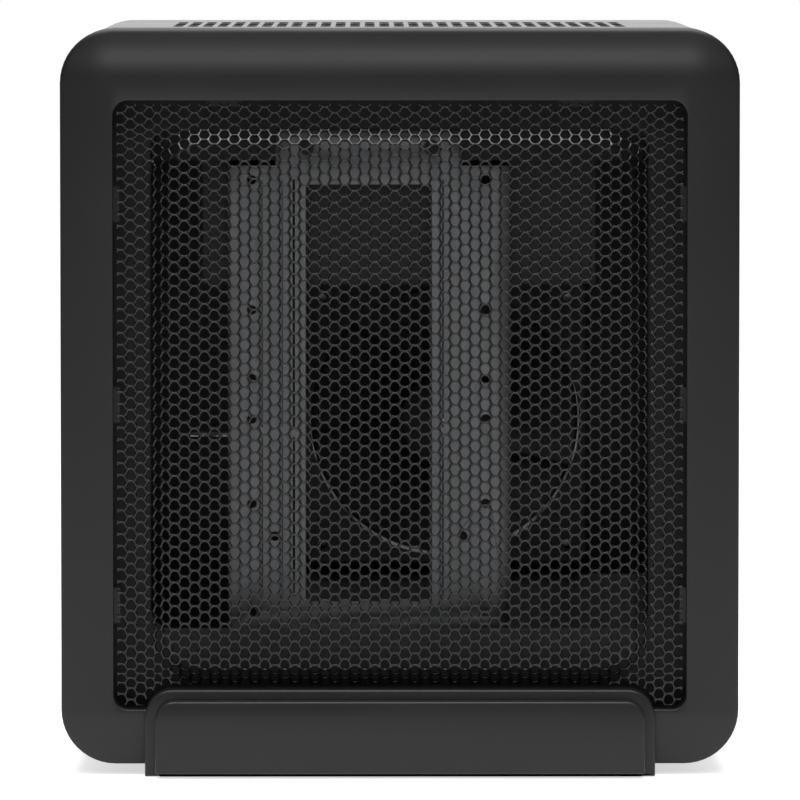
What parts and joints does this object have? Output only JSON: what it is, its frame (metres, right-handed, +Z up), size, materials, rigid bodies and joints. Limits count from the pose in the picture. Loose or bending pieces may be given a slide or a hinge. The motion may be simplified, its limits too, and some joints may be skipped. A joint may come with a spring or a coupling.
{
  "type": "mini-itx computer case",
  "caption": "Cube computer case with a rounded front frame, an embossed honeycomb mesh, a vented steel cover and a moulded stand in front.",
  "frame": {"origin": "on the ground, under the middle of the case's bounding box", "axes": "+Z up, +Y from the front towards the rear, +X to the right seen from the front"},
  "size_m": [0.27, 0.2854, 0.2974],
  "materials": {
    "satin_plastic": "satin moulded plastic, near black",
    "mesh_paint": "black semi-gloss powder coat",
    "cover_paint": "black fine-textured powder coat",
    "chassis_paint": "black powder coat",
    "zinc_steel": "zinc-plated sheet steel",
    "screw_steel": "zinc-plated steel",
    "standoff_brass": "turned brass",
    "pad_rubber": "black rubber",
    "fan_plastic": "black glass-filled plastic",
    "board_laminate": "green solder mask on glass laminate",
    "part_plastic": "black moulded plastic",
    "port_steel": "bright tin-plated steel",
    "tongue_plastic": "black contact carrier",
    "clear_plastic": "clear acrylic"
  },
  "bodies": {
    "case": {"front_bezel": "satin_plastic", "front_mesh": "mesh_paint", "outer_shell": "cover_paint", "stand": "satin_plastic", "stand_pads": "pad_rubber", "stand_screws": "screw_steel", "chassis_floor": "chassis_paint", "front_frame": "chassis_paint", "rear_panel": "chassis_paint", "left_top_rail": "chassis_paint", "right_top_rail": "chassis_paint", "top_cross_member": "chassis_paint", "bracket_pedestal": "chassis_paint", "drive_bracket": "zinc_steel", "bracket_screws": "screw_steel", "psu_shelf": "chassis_paint", "motherboard_standoffs": "standoff_brass", "slot_cover_inner": "zinc_steel", "slot_cover_outer": "zinc_steel", "slot_screws": "screw_steel", "cover_thumbscrews": "cover_paint", "rear_fan_frame": "fan_plastic", "rear_fan_screws": "screw_steel", "chassis_rivets": "screw_steel", "bezel_screws": "screw_steel", "control_strip": "part_plastic", "control_board": "board_laminate", "board_screws": "screw_steel", "power_switch": "part_plastic", "reset_switch": "part_plastic", "usb_ports": "port_steel", "usb_tongues": "tongue_plastic", "audio_jacks": "part_plastic", "status_light": "clear_plastic"},
    "power_button": {"power_button": "satin_plastic"},
    "reset_button": {"reset_button": "satin_plastic"},
    "fan_rotor": {"rear_fan_rotor": "fan_plastic", "rear_fan_shaft": "screw_steel"}
  },
  "joints": [
    {"name": "power_press", "type": "slide", "parent": "case", "child": "power_button", "axis": [-1, 0, 0], "range_m": [0, 0.001], "stiffness_N_per_m": 600, "springref_m": -0.0005},
    {"name": "reset_press", "type": "slide", "parent": "case", "child": "reset_button", "axis": [-1, 0, 0], "range_m": [0, 0.0008], "stiffness_N_per_m": 600, "springref_m": -0.0005},
    {"name": "fan_spin", "type": "hinge", "parent": "case", "child": "fan_rotor", "pos_m": [0.02, 0.11775, 0.126], "axis": [0, 1, 0], "continuous": true}
  ]
}
